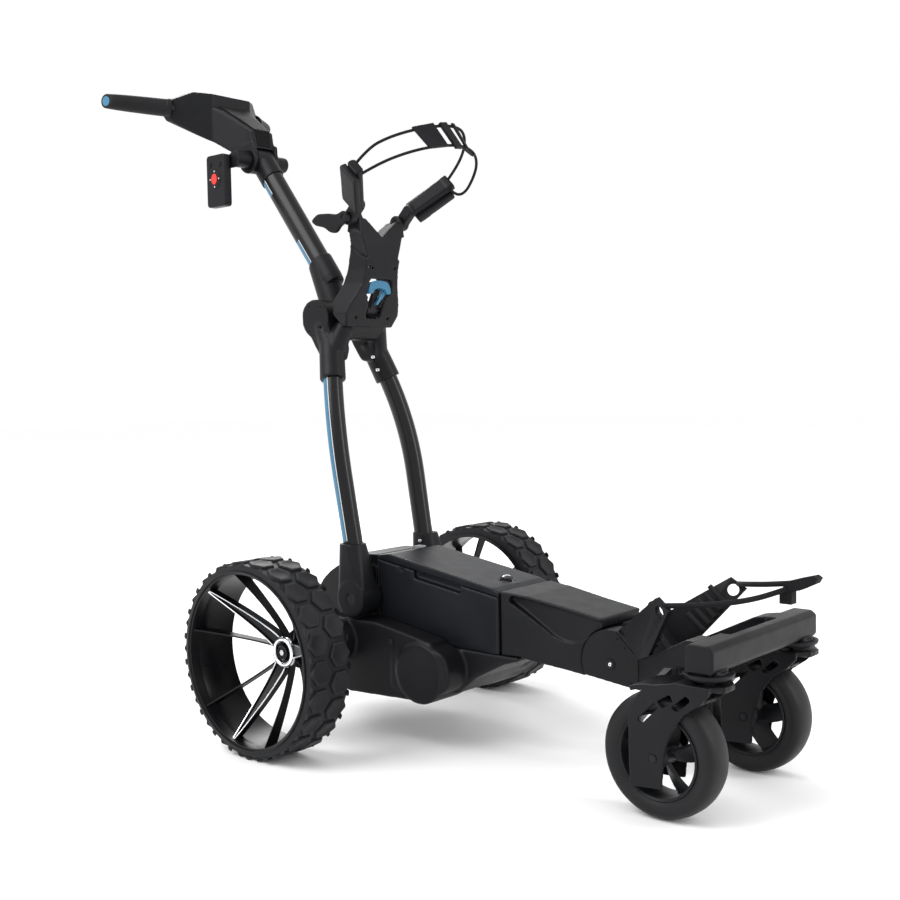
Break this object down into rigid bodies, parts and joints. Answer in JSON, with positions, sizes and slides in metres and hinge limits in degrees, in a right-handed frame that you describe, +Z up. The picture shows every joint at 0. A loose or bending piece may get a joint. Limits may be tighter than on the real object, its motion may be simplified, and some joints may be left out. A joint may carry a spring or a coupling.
{
  "type": "electric golf trolley",
  "caption": "Four-wheel electric push cart for a golf bag: large driven rear wheels, trailing front casters, folding legs and mast, battery bay and tilting handle.",
  "frame": {"origin": "on the ground, midway between the two rear tyres, straight below the rear axle", "axes": "+X forward towards the front casters, +Y to the trolley's left, +Z up"},
  "size_m": [1.3627, 0.66, 1.172],
  "materials": {
    "shell": "satin moulded plastic",
    "battery": "satin, slightly blue",
    "inner": "matt",
    "tube": "gloss black powder coat",
    "steel": "brushed",
    "chrome": "polished",
    "rear_tyre": "solid tyre, matt",
    "front_tyre": "smooth tyre",
    "rear_rim": "gloss black, bright edges",
    "front_rim": "dark grey",
    "grip": "soft rubber",
    "panel": "grey inlay",
    "cord": "elastic cord with woven sleeve",
    "pad": "ribbed rubber",
    "blue": "steel blue",
    "red": "red key",
    "cell": "wrapped cells"
  },
  "bodies": {
    "chassis": {"transaxle_housing": "shell", "rear_cover": "shell", "spine": "shell", "motors": "steel", "gearboxes": "inner", "axle_bearings": "steel", "controller": "inner", "fold_shaft": "steel", "chassis_screws": "steel"},
    "rear_wheel_right": {"rear_tyre_right": "rear_tyre", "rear_rim_right": "rear_rim", "rear_axle_right": "steel"},
    "rear_wheel_left": {"rear_tyre_left": "rear_tyre", "rear_rim_left": "rear_rim", "rear_axle_left": "steel"},
    "hub_button_right_body": {"hub_button_right": "chrome"},
    "hub_button_left_body": {"hub_button_left": "chrome"},
    "battery": {"battery_case": "battery", "battery_lid": "battery", "battery_cells": "cell"},
    "battery_latch_body": {"battery_latch": "chrome"},
    "front_frame": {"front_arm": "shell", "crossbar": "shell", "wing_right": "shell", "wing_left": "shell", "wing_pads": "pad", "knuckle_pin": "steel", "lower_strap": "cord", "strap_tab": "cord"},
    "caster_right": {"caster_fork_right": "shell", "caster_stem_right": "steel", "front_axle_right": "steel"},
    "caster_left": {"caster_fork_left": "shell", "caster_stem_left": "steel", "front_axle_left": "steel"},
    "front_wheel_right": {"front_tyre_right": "front_tyre", "front_rim_right": "front_rim"},
    "front_wheel_left": {"front_tyre_left": "front_tyre", "front_rim_left": "front_rim"},
    "legs": {"leg_right": "tube", "leg_left": "tube", "leg_boots": "shell", "elbow_housing": "shell", "bag_bracket": "shell", "pivot_pins": "steel"},
    "release_lever_body": {"release_lever": "blue"},
    "mast": {"mast_foot": "shell", "mast_tube": "tube", "mast_head": "shell"},
    "handle": {"console_housing": "shell", "console_panel": "panel", "handle_bar": "tube", "handle_grips": "grip"},
    "remote": {"remote_case": "shell"},
    "remote_button_body": {"remote_button": "red"},
    "bag_cradle": {"bag_arms": "shell", "arm_pads": "pad", "upper_strap": "cord", "strap_buckles": "shell"},
    "clamp_lever_body": {"clamp_lever": "shell"}
  },
  "joints": [
    {"name": "rear_wheel_right_spin", "type": "hinge", "parent": "chassis", "child": "rear_wheel_right", "pos_m": [0, -0.285, 0.16], "axis": [0, 1, 0], "continuous": true},
    {"name": "rear_wheel_left_spin", "type": "hinge", "parent": "chassis", "child": "rear_wheel_left", "pos_m": [0, 0.285, 0.16], "axis": [0, 1, 0], "continuous": true},
    {"name": "hub_button_right_press", "type": "slide", "parent": "rear_wheel_right", "child": "hub_button_right_body", "axis": [0, 1, 0], "range_m": [0, 0.004], "stiffness_N_per_m": 400},
    {"name": "hub_button_left_press", "type": "slide", "parent": "rear_wheel_left", "child": "hub_button_left_body", "axis": [0, -1, 0], "range_m": [0, 0.004], "stiffness_N_per_m": 400},
    {"name": "battery_lift", "type": "slide", "parent": "chassis", "child": "battery", "axis": [0, 0, -1], "range_m": [-0.15, 0]},
    {"name": "battery_latch_press", "type": "slide", "parent": "battery", "child": "battery_latch_body", "axis": [0, 0, -1], "range_m": [0, 0.003], "stiffness_N_per_m": 400},
    {"name": "front_fold", "type": "hinge", "parent": "chassis", "child": "front_frame", "pos_m": [0.517, 0, 0.178], "axis": [0, 1, 0], "range_deg": [0, 100]},
    {"name": "caster_right_swivel", "type": "hinge", "parent": "front_frame", "child": "caster_right", "pos_m": [0.72, -0.1287, 0.2], "axis": [0, 0, 1], "continuous": true},
    {"name": "caster_left_swivel", "type": "hinge", "parent": "front_frame", "child": "caster_left", "pos_m": [0.72, 0.1287, 0.2], "axis": [0, 0, 1], "continuous": true},
    {"name": "front_wheel_right_spin", "type": "hinge", "parent": "caster_right", "child": "front_wheel_right", "pos_m": [0.653, -0.1287, 0.0886], "axis": [0, 1, 0], "continuous": true},
    {"name": "front_wheel_left_spin", "type": "hinge", "parent": "caster_left", "child": "front_wheel_left", "pos_m": [0.653, 0.1287, 0.0886], "axis": [0, 1, 0], "continuous": true},
    {"name": "legs_fold", "type": "hinge", "parent": "chassis", "child": "legs", "pos_m": [0.029, 0, 0.232], "axis": [0, 1, 0], "range_deg": [0, 70]},
    {"name": "release_lever_pull", "type": "hinge", "parent": "legs", "child": "release_lever_body", "pos_m": [-0.026, 0, 0.73], "axis": [0, 1, 0], "range_deg": [0, 20], "stiffness_Nm_per_rad": 0.6},
    {"name": "mast_fold", "type": "hinge", "parent": "legs", "child": "mast", "pos_m": [-0.098, 0, 0.716], "axis": [0, -1, 0], "range_deg": [0, 120]},
    {"name": "handle_tilt", "type": "hinge", "parent": "mast", "child": "handle", "pos_m": [-0.316, 0, 1.029], "axis": [0, 1, 0], "range_deg": [-15, 15]},
    {"name": "remote_lift", "type": "slide", "parent": "mast", "child": "remote", "axis": [0, 0, -1], "range_m": [-0.04, 0]},
    {"name": "remote_button_press", "type": "slide", "parent": "remote", "child": "remote_button_body", "axis": [0, 1, 0], "range_m": [0, 0.0015], "stiffness_N_per_m": 300},
    {"name": "cradle_fold", "type": "hinge", "parent": "legs", "child": "bag_cradle", "pos_m": [-0.004, 0, 0.886], "axis": [0, -1, 0], "range_deg": [0, 45]},
    {"name": "clamp_lever_turn", "type": "hinge", "parent": "legs", "child": "clamp_lever_body", "pos_m": [-0.004, -0.077, 0.886], "axis": [0, -1, 0], "range_deg": [0, 80]}
  ]
}
